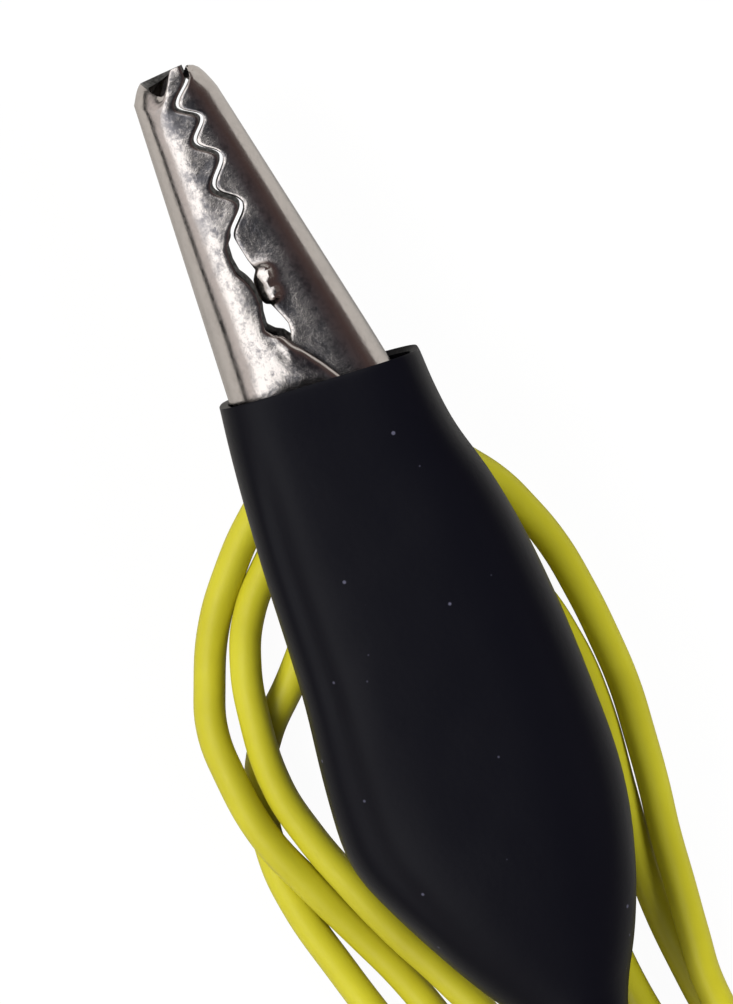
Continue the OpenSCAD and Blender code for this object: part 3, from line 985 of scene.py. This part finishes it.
def smooth_rings():
    """The boot's rings with two more between each pair, on smooth curves."""
    rings = []
    count = len(BOOT_RINGS)
    for i in range(count - 1):
        a, b, c, d = (BOOT_RINGS[min(max(k, 0), count - 1)] for k in range(i - 1, i + 3))
        for t in (0, 1 / 3, 2 / 3):
            rings.append(tuple(
                0.5 * (2 * q + (r - p) * t + (2 * p - 5 * q + 4 * r - s) * t * t
                       + (3 * q - p - 3 * r + s) * t ** 3) for p, q, r, s in zip(a, b, c, d)))
    return rings + [BOOT_RINGS[-1]]


def crease(place):
    """How far the boot's skin is pulled in along the soft fold beside its low edge."""
    x, y, z = place / MM
    if z <= 0 or x < -2.5 or x > 24:
        return 0
    low = along([(r[0], r[1]) for r in BOOT_RINGS], x)[0]
    line = y - (low + 1.25 + 0.02 * x)
    fade = min(1, (x + 2.5) / 4, (24 - x) / 8)
    return CREASE_DEPTH * fade * math.exp(-(line / CREASE_HALF_W) ** 2)


class LEAD_OT_boots(bpy.types.Operator):
    """Draws out the soft boots ring by ring from the mouth to the sleeve"""
    bl_idname = "lead.boots"
    bl_label = "Boots"

    def execute(self, context):
        deselect()
        rings = smooth_rings()
        bpy.ops.mesh.primitive_circle_add(vertices=BOOT_SIDES, radius=4 * MM)
        boot = added("boot_shell")
        angles = [math.tau * k / BOOT_SIDES for k in range(BOOT_SIDES)]
        pick(boot)
        bpy.ops.object.mode_set(mode="EDIT")
        form = bmesh.from_edit_mesh(boot.data)
        for vertex, angle in zip(form.verts, angles):
            vertex.co = ring_place(rings[0], angle)
        for ring in rings[1:]:
            bpy.ops.mesh.extrude_region_move()
            form = bmesh.from_edit_mesh(boot.data)
            chosen = [v for v in form.verts if v.select]
            for vertex, angle in zip(chosen, angles):
                vertex.co = ring_place(ring, angle)
        bmesh.update_edit_mesh(boot.data)
        bpy.ops.object.mode_set(mode="OBJECT")
        tidy_mesh(boot)
        for vertex in boot.data.vertices:
            pull = crease(vertex.co)
            drift = noise_vector(vertex.co * 160)
            soft = min(1, max(0, (30 - vertex.co.x / MM) / 8)) * SKIN_DRIFT
            inward = -0.8 if vertex.co.z > 0 else 0.3
            vertex.co += Vector((0, drift.y, inward * abs(drift.z))) * soft * MM
            vertex.co.z -= pull * MM
        score = sum(p.normal.z * p.center.z for p in boot.data.polygons)
        wall = context.scene.lead_sizes.boot_wall
        modify(boot, "SOLIDIFY", thickness=wall, offset=-1 if score > 0 else 1,
               use_even_offset=True)
        break_edges(boot, 0.14, 50)
        modify(boot, "SUBSURF", levels=1, render_levels=1)
        smooth(boot, 60)
        give(boot, vinyl_material(context.scene.lead_colours))
        on_both_clips(boot, "boot", bend=((14, -2, 0), (12, 8, 0)))
        return {"FINISHED"}


# ---------- panel and run ----------
class LEAD_PT_panel(bpy.types.Panel):
    """Sizes, colours and the pieces in the order they are made"""
    bl_idname = "LEAD_PT_panel"
    bl_label = "Clip Lead"
    bl_space_type = "VIEW_3D"
    bl_region_type = "UI"
    bl_category = "Clip Lead"

    def draw(self, context):
        for group in (context.scene.lead_sizes, context.scene.lead_colours):
            box = self.layout.box()
            for key in group.bl_rna.properties.keys():
                if key not in ("rna_type", "name"):
                    box.prop(group, key)
        for operator in OPERATORS:
            self.layout.operator(operator.bl_idname)


OPERATORS = (LEAD_OT_stage, LEAD_OT_wire, LEAD_OT_fixed_jaws, LEAD_OT_moving_jaws,
             LEAD_OT_rivets, LEAD_OT_springs, LEAD_OT_strands, LEAD_OT_solder, LEAD_OT_boots)
CLASSES = (LeadSizes, LeadColours, *OPERATORS, LEAD_PT_panel)


def register():
    for cls in CLASSES:
        bpy.utils.register_class(cls)
    bpy.types.Scene.lead_sizes = bpy.props.PointerProperty(type=LeadSizes)
    bpy.types.Scene.lead_colours = bpy.props.PointerProperty(type=LeadColours)


def unregister():
    del bpy.types.Scene.lead_colours
    del bpy.types.Scene.lead_sizes
    for cls in reversed(CLASSES):
        bpy.utils.unregister_class(cls)


def main():
    register()
    nickel_material(bpy.context.scene.lead_colours)
    cut_edge_material()
    bpy.ops.lead.stage()
    bpy.ops.lead.wire()
    bpy.ops.lead.fixed_jaws()
    bpy.ops.lead.moving_jaws()
    bpy.ops.lead.rivets()
    bpy.ops.lead.springs()
    bpy.ops.lead.strands()
    bpy.ops.lead.solder()
    bpy.ops.lead.boots()


if __name__ == "__main__":
    main()
